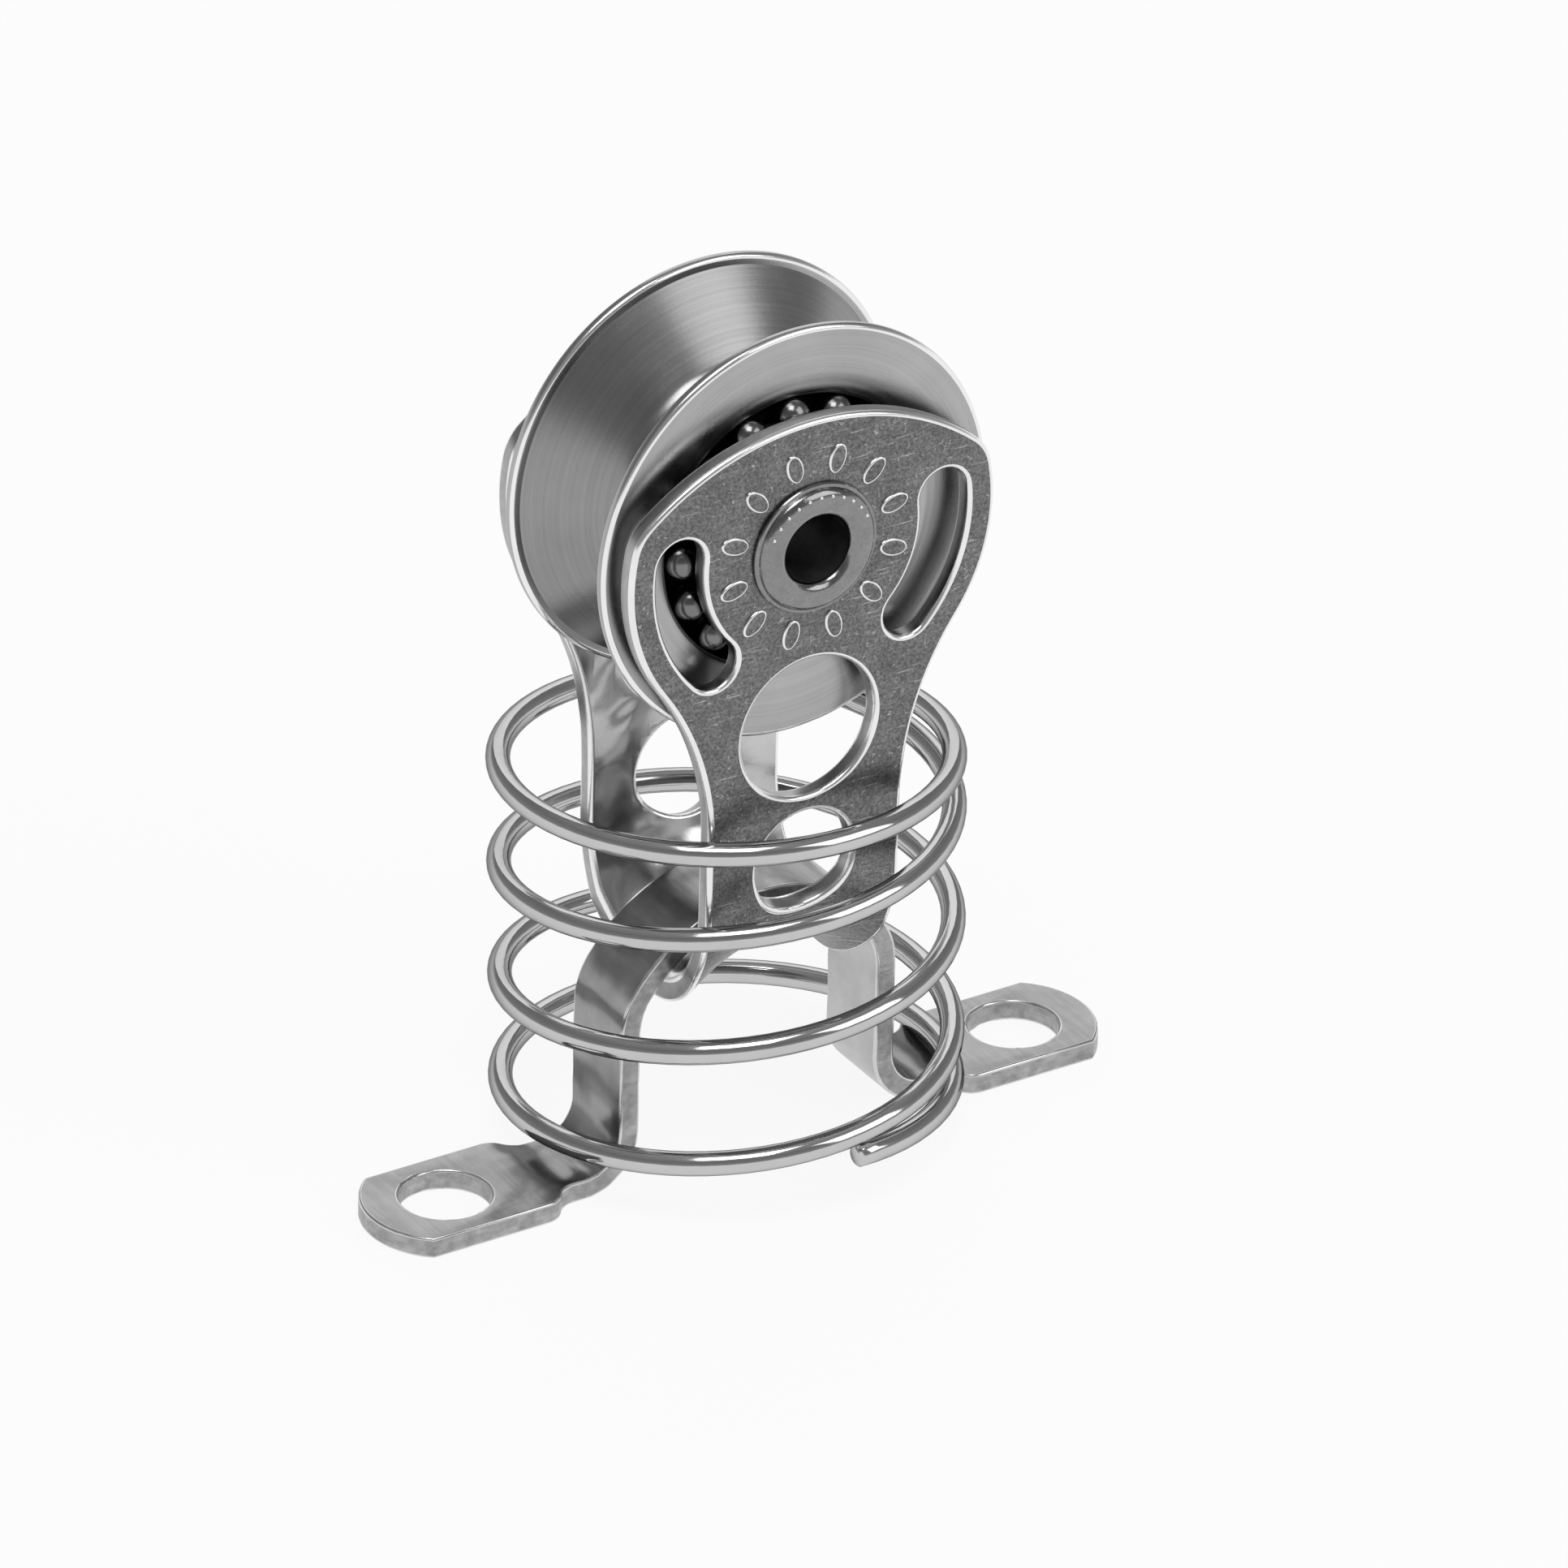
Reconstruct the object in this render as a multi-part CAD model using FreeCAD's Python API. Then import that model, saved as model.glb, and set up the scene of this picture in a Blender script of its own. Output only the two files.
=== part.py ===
import FreeCAD, Part
import math
import os

# Stand-up block on a bow: a forked sheet housing hooked under a bent mounting bow,
# with a grooved wheel on two rows of balls and a coil spring round the bow.
# Frame: X along the two feet, Y along the wheel's axle, Z up, origin on the deck
# below the middle of the bow. All sizes are in millimetres.

Vec = FreeCAD.Vector
ORIGIN = Vec(0, 0, 0)
X_AXIS = Vec(1, 0, 0)
Y_AXIS = Vec(0, 1, 0)
Z_AXIS = Vec(0, 0, 1)

# Mounting bow: one bent strip with two feet
foot_hole_spacing = 38.0
foot_hole_radius = 2.65
foot_end_radius = 4.9
foot_shoulder_distance = 4.5
foot_width = 7.75
strip_thickness = 1.3
strip_width = 5.3
ogee_radius = 1.4
foot_bend_radius = 2.2
leg_span_outside = 18.3
shoulder_radius = 3.85
crown_over_half_span = 0.8
bow_height = 16.92
hole_edge_round = 0.25

# Housing: one sheet folded to a fork, whose bend is saddle-shaped to fit under the bow
sheet_thickness = 1.2
axle_height = 40.95
cheek_gap = 11.78
stem_gap = 11.48
joggle_top_height = 25.9
joggle_bottom_height = 22.2
head_radius = 11.85
head_top_rise = 7.85
head_top_radius = 16.5
head_corner_radius = 3.0
stem_half_width = 6.3
neck_radius = 18.0
bend_half_width = 5.6
bend_taper_height = 14.5
saddle_clearance = 0.3
large_hole_drop = 11.45
large_hole_radius = 4.35
small_hole_drop = 20.0
small_hole_radius = 3.16
slot_radius = 8.6
slot_width = 3.07
slot_top_angle = 6.7
slot_bottom_angle = -42.5

# Tubular axle with both ends rolled over the cheeks
axle_radius = 2.9
axle_bore_radius = 2.05
axle_flange_radius = 3.96
axle_flange_height = 0.8
axle_flange_edge = 0.3
axle_lip_radius = 0.5
axle_fit = 0.05

# Inner race: a turned ring that also keeps the cheeks apart
race_shoulder_radius = 6.5
race_neck_radius = 6.0
race_end_gap = 0.01

# Grooved wheel
wheel_radius = 12.55
wheel_width = 10.4
rim_thickness = 0.7
rim_round = 0.3
rim_land = 0.312
groove_root_radius = 7.6
groove_root_round = 1.6
side_dish_radius = 8.9
side_dish_depth = 0.35
wheel_land_radius = 6.75
wheel_mouth_radius = 8.36

# Balls, two rows
ball_radius = 1.05
ball_pitch_radius = 7.15
ball_row_offset = 4.7
balls_in_a_row = 16
ball_first_angle = 1.0
ball_groove_clearance = 0.04

# Coil spring standing on the feet round the bow
wire_radius = 0.71
coil_radius = 12.87
coil_centre_x = 0.8
coil_centre_y = 1.98
coil_lean = 2.0
coil_pitch = 7.15
coil_tip_angle = -87.0
coil_turns = 4.31
coil_closing_turns = 0.958
coil_lowest_height = 2.01
coil_end_gap = 0.04

bow_half = leg_span_outside / 2
crown_radius_outside = bow_half + crown_over_half_span
crown_centre_z = bow_height - crown_radius_outside


def face_of(edges):
    return Part.Face(Part.Wire(Part.__sortEdges__(edges)))


def line(start, end):
    return Part.LineSegment(start, end).toShape()


def arc(start, middle, end):
    return Part.Arc(start, middle, end).toShape()


def on_circle(centre, radius, degrees):
    """A point of a circle in the XZ plane, its angle counted from +X towards +Z."""
    turn = math.radians(degrees)
    return Vec(centre.x + radius * math.cos(turn), centre.y, centre.z + radius * math.sin(turn))


def mirrored_x(shape):
    return shape.mirror(ORIGIN, X_AXIS)


def turned_about_y(profile, height):
    """Revolves a face drawn with its radius along X and its width along Y."""
    solid = profile.revolve(ORIGIN, Y_AXIS, 360)
    solid.translate(Vec(0, 0, height))
    return solid


def torus_about_y(radius, tube_radius, offset, height):
    return Part.makeTorus(radius, tube_radius, Vec(0, offset, height), Y_AXIS)


def through_hole(x, z, radius, reach):
    return Part.makeCylinder(radius, 2 * reach, Vec(x, -reach, z), Y_AXIS)


def bow_half_line(offset):
    """Half of the bow's side line, offset outwards from the strip's outer face by -offset."""
    foot_end = -(foot_hole_spacing / 2 + foot_end_radius)
    bend = Vec(-(bow_half + foot_bend_radius), 0, strip_thickness + foot_bend_radius)
    bend_radius = foot_bend_radius + offset
    shoulder_outside = shoulder_radius + strip_thickness
    reach = crown_radius_outside - shoulder_outside
    shoulder_x = bow_half - shoulder_outside
    shoulder = Vec(-shoulder_x, 0, crown_centre_z + math.sqrt(reach ** 2 - shoulder_x ** 2))
    shoulder_now = shoulder_outside - offset
    crown = Vec(0, 0, crown_centre_z)
    crown_now = crown_radius_outside - offset
    turn = 180 - math.degrees(math.atan2(shoulder.z - crown_centre_z, shoulder_x))
    foot_start = Vec(foot_end, 0, bend.z - bend_radius)
    points = [
        foot_start,
        on_circle(bend, bend_radius, -90),
        on_circle(bend, bend_radius, -45),
        on_circle(bend, bend_radius, 0),
        on_circle(shoulder, shoulder_now, 180),
        on_circle(shoulder, shoulder_now, (180 + turn) / 2),
        on_circle(shoulder, shoulder_now, turn),
        on_circle(crown, crown_now, (turn + 90) / 2),
        on_circle(crown, crown_now, 90),
    ]
    edges = [
        line(points[0], points[1]),
        arc(points[1], points[2], points[3]),
        line(points[3], points[4]),
        arc(points[4], points[5], points[6]),
        arc(points[6], points[7], points[8]),
    ]
    return edges, points


def bow_side_view():
    outer, outer_points = bow_half_line(0)
    inner, inner_points = bow_half_line(strip_thickness)
    ends = [line(outer_points[0], inner_points[0]), line(outer_points[-1], inner_points[-1])]
    return face_of(outer + inner + ends)


def foot_plan():
    """Plan of one foot: round end, straight sides, and an ogee down to the strip's width."""
    hole = Vec(-foot_hole_spacing / 2, 0, 0)
    side = foot_width / 2
    neck = strip_width / 2
    end_x = hole.x - math.sqrt(foot_end_radius ** 2 - side ** 2)
    ogee_start = hole.x + foot_shoulder_distance
    drop = (side - neck) / 2
    ogee_run = math.sqrt(ogee_radius ** 2 - (ogee_radius - drop) ** 2)
    half_turn = math.asin(ogee_run / ogee_radius) / 2
    bulge = Vec(ogee_radius * math.sin(half_turn), ogee_radius * (1 - math.cos(half_turn)), 0)
    upper = [
        Vec(hole.x - foot_end_radius, 0, 0),
        Vec(end_x, side, 0),
        Vec(ogee_start, side, 0),
        Vec(ogee_start + ogee_run, side - drop, 0),
        Vec(ogee_start + 2 * ogee_run, neck, 0),
        Vec(0, neck, 0),
    ]
    end_turn = math.atan2(side, end_x - hole.x)
    end_middle = Vec(hole.x + foot_end_radius * math.cos((end_turn + math.pi) / 2),
                     foot_end_radius * math.sin((end_turn + math.pi) / 2), 0)
    convex = upper[2] + Vec(bulge.x, -bulge.y, 0)
    concave = upper[4] + Vec(-bulge.x, bulge.y, 0)
    edges = [
        arc(upper[0], end_middle, upper[1]),
        line(upper[1], upper[2]),
        arc(upper[2], convex, upper[3]),
        arc(upper[3], concave, upper[4]),
        line(upper[4], upper[5]),
    ]
    lower = [edge.mirror(ORIGIN, Y_AXIS) for edge in edges]
    close = [line(upper[5], Vec(0, -neck, 0))]
    return face_of(edges + lower + close)


def make_mounting_bow():
    half = bow_side_view().extrude(Vec(0, 2 * foot_width, 0))
    half.translate(Vec(0, -foot_width, 0))
    half = half.common(foot_plan().extrude(Vec(0, 0, 2 * bow_height)))
    hole = Vec(-foot_hole_spacing / 2, 0, -strip_thickness)
    half = half.cut(Part.makeCylinder(foot_hole_radius, 3 * strip_thickness, hole))
    rims = [edge for edge in half.Edges if is_hole_rim(edge)]
    half = half.makeFillet(hole_edge_round, rims)
    return half.fuse(mirrored_x(half)).removeSplitter()


def is_hole_rim(edge):
    curve = edge.Curve
    return (isinstance(curve, Part.Circle) and abs(curve.Radius - foot_hole_radius) < 1e-6
            and abs(curve.Center.z - strip_thickness) < 1e-6)


stem_inner = stem_gap / 2
contact_depth = math.sqrt(stem_inner ** 2 - (strip_width / 2) ** 2)
bend_centre_z = bow_height - strip_thickness - saddle_clearance + contact_depth
saddle_axis_z = crown_centre_z - saddle_clearance


def housing_outline():
    """Side view of the housing's stem, neck and head, above the saddle bend."""
    axle = Vec(0, 0, axle_height)
    neck_x = stem_half_width + neck_radius
    far = head_radius + neck_radius
    neck = Vec(neck_x, 0, axle_height - math.sqrt(far ** 2 - neck_x ** 2))
    neck_turn = math.degrees(math.atan2(neck.z - axle_height, neck_x))
    top = Vec(0, 0, axle_height + head_top_rise - head_top_radius)
    drop = head_top_radius - head_top_rise
    side_reach = head_radius - head_corner_radius
    top_reach = head_top_radius - head_corner_radius
    rise = (top_reach ** 2 - side_reach ** 2 - drop ** 2) / (2 * drop)
    corner = Vec(math.sqrt(side_reach ** 2 - rise ** 2), 0, axle_height + rise)
    side_turn = math.degrees(math.atan2(rise, corner.x))
    top_turn = math.degrees(math.atan2(corner.z - top.z, corner.x))
    bend_reach = bend_centre_z - saddle_axis_z
    bend_turn = math.degrees(math.acos(stem_half_width / bend_reach))
    saddle = Vec(0, 0, saddle_axis_z)
    foot = on_circle(saddle, bend_reach, bend_turn)
    right = [
        line(foot, Vec(stem_half_width, 0, neck.z)),
        arc(Vec(stem_half_width, 0, neck.z), on_circle(neck, neck_radius, (180 + neck_turn + 180) / 2),
            on_circle(axle, head_radius, neck_turn)),
        arc(on_circle(axle, head_radius, neck_turn),
            on_circle(axle, head_radius, (neck_turn + side_turn) / 2),
            on_circle(axle, head_radius, side_turn)),
        arc(on_circle(corner, head_corner_radius, side_turn),
            on_circle(corner, head_corner_radius, (side_turn + top_turn) / 2),
            on_circle(corner, head_corner_radius, top_turn)),
        arc(on_circle(top, head_top_radius, top_turn),
            on_circle(top, head_top_radius, (top_turn + 90) / 2),
            on_circle(top, head_top_radius, 90)),
        arc(foot, on_circle(saddle, bend_reach, (bend_turn + 90) / 2),
            on_circle(saddle, bend_reach, 90)),
    ]
    return face_of(right + [mirrored_x(edge) for edge in right])


def cheek_section():
    """End view of one cheek: straight head, joggled stem."""
    head_inner = cheek_gap / 2
    low = saddle_axis_z
    high = axle_height + head_radius
    inner = [(stem_inner, low), (stem_inner, joggle_bottom_height),
             (head_inner, joggle_top_height), (head_inner, high)]
    outer = [(y + sheet_thickness, z) for y, z in reversed(inner)]
    points = [Vec(0, y, z) for y, z in inner + outer]
    return Part.Face(Part.makePolygon(points + points[:1]))


def saddle_bend():
    """The fork's bend: a half ring turned about the bow's crown axis."""
    outer = stem_inner + sheet_thickness
    centre = Vec(0, 0, bend_centre_z)
    ring = face_of([
        arc(centre + Vec(0, -outer, 0), centre + Vec(0, 0, -outer), centre + Vec(0, outer, 0)),
        arc(centre + Vec(0, -stem_inner, 0), centre + Vec(0, 0, -stem_inner),
            centre + Vec(0, stem_inner, 0)),
        line(centre + Vec(0, -outer, 0), centre + Vec(0, -stem_inner, 0)),
        line(centre + Vec(0, outer, 0), centre + Vec(0, stem_inner, 0)),
    ])
    spread = 80
    pivot = Vec(0, 0, saddle_axis_z)
    ring.rotate(pivot, Y_AXIS, -spread)
    bend = ring.revolve(pivot, Y_AXIS, 2 * spread)
    return bend.common(bend_outline(cheek_gap).extrude(Vec(0, 2 * cheek_gap, 0)))


def bend_outline(reach):
    """Side view of the strip through the bend, which narrows towards the bottom."""
    low = Vec(bend_half_width, -reach, saddle_axis_z)
    taper = Vec(bend_half_width, -reach, (saddle_axis_z + bend_taper_height) / 2)
    wide = Vec(stem_half_width, -reach, bend_taper_height)
    high = Vec(stem_half_width, -reach, bend_centre_z)
    right = [line(low, taper), line(taper, wide), line(wide, high)]
    ends = [line(low, Vec(-low.x, low.y, low.z)), line(high, Vec(-high.x, high.y, high.z))]
    return face_of(right + [mirrored_x(edge) for edge in right] + ends)


def slot_cutter(reach):
    """Curved slot beside the axle, with round ends."""
    axle = Vec(0, -reach, axle_height)
    cap = math.degrees(math.asin(slot_width / 2 / slot_radius))
    inner = slot_radius - slot_width / 2
    outer = slot_radius + slot_width / 2
    middle = (slot_top_angle + slot_bottom_angle) / 2
    edges = [
        arc(on_circle(axle, outer, slot_bottom_angle), on_circle(axle, outer, middle),
            on_circle(axle, outer, slot_top_angle)),
        arc(on_circle(axle, outer, slot_top_angle), on_circle(axle, slot_radius, slot_top_angle + cap),
            on_circle(axle, inner, slot_top_angle)),
        arc(on_circle(axle, inner, slot_top_angle), on_circle(axle, inner, middle),
            on_circle(axle, inner, slot_bottom_angle)),
        arc(on_circle(axle, inner, slot_bottom_angle),
            on_circle(axle, slot_radius, slot_bottom_angle - cap),
            on_circle(axle, outer, slot_bottom_angle)),
    ]
    return face_of(edges).extrude(Vec(0, 2 * reach, 0))


def make_housing():
    reach = cheek_gap
    outline = housing_outline().extrude(Vec(0, 2 * reach, 0))
    outline.translate(Vec(0, -reach, 0))
    cheek = cheek_section().extrude(Vec(4 * head_radius, 0, 0))
    cheek.translate(Vec(-2 * head_radius, 0, 0))
    cheek = cheek.common(outline)
    housing = saddle_bend().fuse([cheek, cheek.mirror(ORIGIN, Y_AXIS)])
    right_slot = slot_cutter(reach)
    cutters = [
        through_hole(0, axle_height, axle_radius + axle_fit, reach),
        through_hole(0, axle_height - large_hole_drop, large_hole_radius, reach),
        through_hole(0, axle_height - small_hole_drop, small_hole_radius, reach),
        right_slot,
        mirrored_x(right_slot),
    ]
    return housing.cut(cutters).removeSplitter()


def make_axle():
    """Hollow rivet: a tube whose ends are rolled outwards into domed rings."""
    seat = cheek_gap / 2 + sheet_thickness
    crown = seat + axle_flange_height
    lip = axle_bore_radius + axle_lip_radius
    diagonal = math.sqrt(0.5)
    edge_height = seat + axle_flange_edge
    dome = Vec((lip + axle_flange_radius) / 2 + 0.25 * axle_flange_height,
               (edge_height + crown) / 2 + 0.35 * axle_flange_height, 0)
    half = [
        line(Vec(axle_bore_radius, 0, 0), Vec(axle_bore_radius, crown - axle_lip_radius, 0)),
        arc(Vec(axle_bore_radius, crown - axle_lip_radius, 0),
            Vec(lip - axle_lip_radius * diagonal, crown - axle_lip_radius * (1 - diagonal), 0),
            Vec(lip, crown, 0)),
        arc(Vec(lip, crown, 0), dome, Vec(axle_flange_radius, edge_height, 0)),
        line(Vec(axle_flange_radius, edge_height, 0), Vec(axle_flange_radius, seat, 0)),
        line(Vec(axle_flange_radius, seat, 0), Vec(axle_radius, seat, 0)),
        line(Vec(axle_radius, seat, 0), Vec(axle_radius, 0, 0)),
    ]
    profile = face_of(half + [edge.mirror(ORIGIN, Y_AXIS) for edge in half])
    return turned_about_y(profile, axle_height)


def make_inner_race():
    end = cheek_gap / 2 - race_end_gap
    bore = axle_radius + axle_fit
    corners = [(bore, 0), (bore, end), (race_neck_radius, end), (race_neck_radius, ball_row_offset),
               (race_shoulder_radius, ball_row_offset), (race_shoulder_radius, 0)]
    points = [Vec(r, y, 0) for r, y in corners]
    points += [Vec(r, -y, 0) for r, y in reversed(corners[1:-1])]
    race = turned_about_y(Part.Face(Part.makePolygon(points + points[:1])), axle_height)
    return race.cut(ball_tracks())


def ball_tracks():
    """The two ring-shaped tracks that the balls run in."""
    tube = ball_radius + ball_groove_clearance
    return [torus_about_y(ball_pitch_radius, tube, side * ball_row_offset, axle_height)
            for side in (-1, 1)]


def wheel_profile():
    """Half section of the wheel: radius along X, width along Y."""
    side = wheel_width / 2
    rim_inner = side - rim_thickness
    root_centre = Vec(groove_root_radius + groove_root_round, 0, 0)
    shoulder = Vec(wheel_radius - rim_round - rim_land, rim_inner, 0)
    # The groove's wall runs from the rim's shoulder and touches the rounded root.
    across = shoulder - root_centre
    touch_turn = math.atan2(across.y, across.x) + math.acos(groove_root_round / across.Length)
    middle_turn = (touch_turn + math.pi) / 2
    touch = root_centre + Vec(math.cos(touch_turn), math.sin(touch_turn), 0) * groove_root_round
    root_middle = (root_centre
                   + Vec(math.cos(middle_turn), math.sin(middle_turn), 0) * groove_root_round)
    outer_face = side - side_dish_depth
    diagonal = rim_round * (1 - math.sqrt(0.5))
    return [
        arc(Vec(groove_root_radius, 0, 0), root_middle, touch),
        line(touch, shoulder),
        line(shoulder, Vec(wheel_radius - rim_round, rim_inner, 0)),
        arc(Vec(wheel_radius - rim_round, rim_inner, 0),
            Vec(wheel_radius - diagonal, rim_inner + diagonal, 0),
            Vec(wheel_radius, rim_inner + rim_round, 0)),
        line(Vec(wheel_radius, rim_inner + rim_round, 0), Vec(wheel_radius, side - rim_round, 0)),
        arc(Vec(wheel_radius, side - rim_round, 0), Vec(wheel_radius - diagonal, side - diagonal, 0),
            Vec(wheel_radius - rim_round, side, 0)),
        line(Vec(wheel_radius - rim_round, side, 0), Vec(side_dish_radius, outer_face, 0)),
        line(Vec(side_dish_radius, outer_face, 0), Vec(wheel_mouth_radius, outer_face, 0)),
        line(Vec(wheel_mouth_radius, outer_face, 0), Vec(wheel_mouth_radius, ball_row_offset, 0)),
        line(Vec(wheel_mouth_radius, ball_row_offset, 0),
             Vec(wheel_land_radius, ball_row_offset, 0)),
        line(Vec(wheel_land_radius, ball_row_offset, 0), Vec(wheel_land_radius, 0, 0)),
    ]


def make_wheel():
    half = wheel_profile()
    profile = face_of(half + [edge.mirror(ORIGIN, Y_AXIS) for edge in half])
    return turned_about_y(profile, axle_height).cut(ball_tracks())


def make_ball(side, number):
    turn = ball_first_angle + 360 * number / balls_in_a_row
    centre = on_circle(Vec(0, side * ball_row_offset, axle_height), ball_pitch_radius, turn)
    return Part.makeSphere(ball_radius, centre)


def coil_height(turns):
    """Height above the tip: the end turns close on their neighbours, the rest has free pitch."""
    closed_pitch = 2 * wire_radius + coil_end_gap
    closing = 2 * (coil_pitch - closed_pitch) / coil_closing_turns - coil_pitch
    closed_rise = coil_closing_turns * (coil_pitch - closing) / 2
    if turns < coil_closing_turns:
        share = turns / coil_closing_turns
        return coil_closing_turns * share * ((coil_pitch + closing) * share / 2 - closing)
    if turns <= coil_turns - coil_closing_turns:
        return closed_rise + (turns - coil_closing_turns) * coil_pitch
    middle_rise = (coil_turns - 2 * coil_closing_turns) * coil_pitch
    return 2 * closed_rise + middle_rise - coil_height(coil_turns - turns)


def make_spring():
    steps_a_turn = 16
    steps = round(coil_turns * steps_a_turn)
    heights = [coil_height(coil_turns * step / steps) for step in range(steps + 1)]
    foot = Vec(coil_centre_x, coil_centre_y, coil_lowest_height)
    lean = FreeCAD.Rotation(X_AXIS, -coil_lean)
    points = []
    for step, height in enumerate(heights):
        turn = math.radians(coil_tip_angle + 360 * coil_turns * step / steps)
        across = Vec(coil_radius * math.cos(turn), coil_radius * math.sin(turn), 0)
        points.append(foot + lean.multVec(across + Vec(0, 0, height - min(heights))))
    curve = Part.BSplineCurve()
    curve.interpolate(points)
    path = Part.Wire(curve.toShape())
    start = curve.tangent(curve.FirstParameter)[0]
    section = Part.Wire(Part.makeCircle(wire_radius, points[0], start))
    return path.makePipeShell([section], True, True)


def save(name, shape):
    shape.exportStep(os.path.join("parts", name + ".step"))
    box = shape.BoundBox
    print(name, shape.isValid(), len(shape.Solids), round(shape.Volume, 3),
          [round(v, 2) for v in (box.XMin, box.YMin, box.ZMin, box.XMax, box.YMax, box.ZMax)])


def main():
    os.makedirs("parts", exist_ok=True)
    save("mounting_bow", make_mounting_bow())
    save("housing", make_housing())
    save("axle_rivet", make_axle())
    save("inner_race", make_inner_race())
    save("sheave", make_wheel())
    save("standing_spring", make_spring())
    for row, side in (("near", -1), ("far", 1)):
        for number in range(balls_in_a_row):
            save(f"{row}_ball_{number + 1:02d}", make_ball(side, number))


main()
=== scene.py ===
import math

import bmesh
import bpy
from mathutils import Matrix, Vector, noise


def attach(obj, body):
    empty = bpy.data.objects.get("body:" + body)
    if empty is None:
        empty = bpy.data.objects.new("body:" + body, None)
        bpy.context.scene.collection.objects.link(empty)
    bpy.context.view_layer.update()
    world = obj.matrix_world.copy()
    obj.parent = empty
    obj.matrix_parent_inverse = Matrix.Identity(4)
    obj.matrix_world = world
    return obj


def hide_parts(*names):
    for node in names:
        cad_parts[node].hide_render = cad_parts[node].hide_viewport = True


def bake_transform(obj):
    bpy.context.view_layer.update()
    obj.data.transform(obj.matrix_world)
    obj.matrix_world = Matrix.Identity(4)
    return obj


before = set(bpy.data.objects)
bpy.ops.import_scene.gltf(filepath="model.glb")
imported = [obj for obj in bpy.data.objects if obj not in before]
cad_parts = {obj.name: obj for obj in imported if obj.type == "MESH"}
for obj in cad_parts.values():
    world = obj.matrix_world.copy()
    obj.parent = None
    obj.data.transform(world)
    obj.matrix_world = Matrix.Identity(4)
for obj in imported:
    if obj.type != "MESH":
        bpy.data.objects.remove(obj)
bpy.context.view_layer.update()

# The object's sizes are in millimetres, and hand_over scales each mesh to metres.
# The floor and the lamps are in metres.
MM = 0.001
AXLE_Z = 40.95

# Mounting bow: one strip, bent to an arch with two flat feet
STRIP = 1.3
STRIP_HALF = 2.65
STRIP_ROUND = 0.16
BOW_TOP_Z = 16.92
LEG_HALF_SPAN = 9.15
CROWN_OVER_HALF_SPAN = 0.8
CROWN_R = LEG_HALF_SPAN + CROWN_OVER_HALF_SPAN
CROWN_Z = BOW_TOP_Z - CROWN_R
SHOULDER_R = 3.85
FOOT_BEND_R = 2.2
FOOT_HOLE_X = 19.0
FOOT_HOLE_R = 2.65
FOOT_END_R = 4.9
FOOT_HALF = 3.875
FOOT_SHOULDER = 4.5
OGEE_R = 1.4
RAGGED_DEPTH = 0.09
RAGGED_BAND = 0.3
BEND_STEP = 0.35
LEG_STEPS = 6
STRIP_LINES = (-1.5, 0.0, 1.5)

# Housing: one sheet, folded to a fork, whose bend is a saddle under the bow's crown
SHEET = 1.2
SHEET_ROUND = 0.27
STEM_INNER = 5.74
HEAD_INNER = 5.89
HEAD_OUTER = HEAD_INNER + SHEET
STEM_MID = STEM_INNER + SHEET / 2
HEAD_MID = HEAD_INNER + SHEET / 2
JOGGLE_LOW_Z = 22.2
JOGGLE_TOP_Z = 25.9
HEAD_R = 11.85
HEAD_TOP_R = 16.5
HEAD_TOP_RISE = 7.85
HEAD_CORNER_R = 3.0
NECK_R = 18.0
STEM_HALF = 6.3
BEND_HALF = 5.6
SEAT_GAP = 0.3
SADDLE_Z = CROWN_Z - SEAT_GAP
TAPER_TOP_Z = 14.5
TAPER_LOW_Z = (SADDLE_Z + TAPER_TOP_Z) / 2
BEND_Z = BOW_TOP_Z - STRIP - SEAT_GAP + math.sqrt(STEM_INNER ** 2 - STRIP_HALF ** 2)
BEND_REACH = BEND_Z - SADDLE_Z
BEND_LENGTH = STEM_MID * math.pi / 2
EASE_Z = 24.3
RIVET_HOLE_R = 3.0
LARGE_HOLE_DROP = 11.45
LARGE_HOLE_R = 4.35
SMALL_HOLE_DROP = 20.0
SMALL_HOLE_R = 3.16
SLOT_R = 8.6
SLOT_HALF = 1.535
SLOT_TOP = 6.7
SLOT_BOTTOM = -42.5
# Where the flat sheet is cut so that it can follow the joggle and the saddle
JOGGLE_CUTS = (EASE_Z, 24.9, 25.4, JOGGLE_TOP_Z, 26.2)
COLUMN = 0.6

# Wheel, balls and inner race
WHEEL_R = 12.55
WHEEL_HALF = 5.2
RIM_THICKNESS = 0.7
RIM_INNER = WHEEL_HALF - RIM_THICKNESS
RIM_ROUND = 0.3
RIM_LAND = 0.312
ROOT_R = 7.6
ROOT_ROUND = 1.6
DISH_R = 8.9
DISH_DEPTH = 0.35
DISH_EASE = (0.2, 0.02)
MOUTH_R = 8.36
MOUTH_ROUND = 0.12
LAND_R = 6.75
BALL_R = 1.05
BALL_PITCH = 7.15
BALL_ROW = 4.7
BALL_FIRST = 1.0
BALL_CLEARANCE = 0.04
TRACK_R = BALL_R + BALL_CLEARANCE
RACE_R = 6.5
RACE_NECK = 6.0
RACE_BORE = 2.95
RACE_END_GAP = 0.01

# Hollow rivet with both ends rolled out over the cheeks
RIVET_BORE = 2.05
RIVET_TUBE = 2.9
RIVET_FLANGE = 3.96
RIVET_RISE = 0.8
RIVET_EDGE = 0.3
RIVET_NIP = 0.06
RIVET_DOME_R = 2.8
RIVET_LEDGE = 0.24
RIVET_LIP_R = 2.75
RIVET_LIP_DEPTH = 0.55

# Marks on the housing and on the rivet
BOSSES = 12
BOSS_RING = 5.36
BOSS_LONG = 0.92
BOSS_SHORT = 0.55
PIP_R = 0.115
PIP_RING = 3.34
PIP_RISE = 0.67
PIP_PLACES = 28
PIP_USED = range(2, 13)

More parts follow.
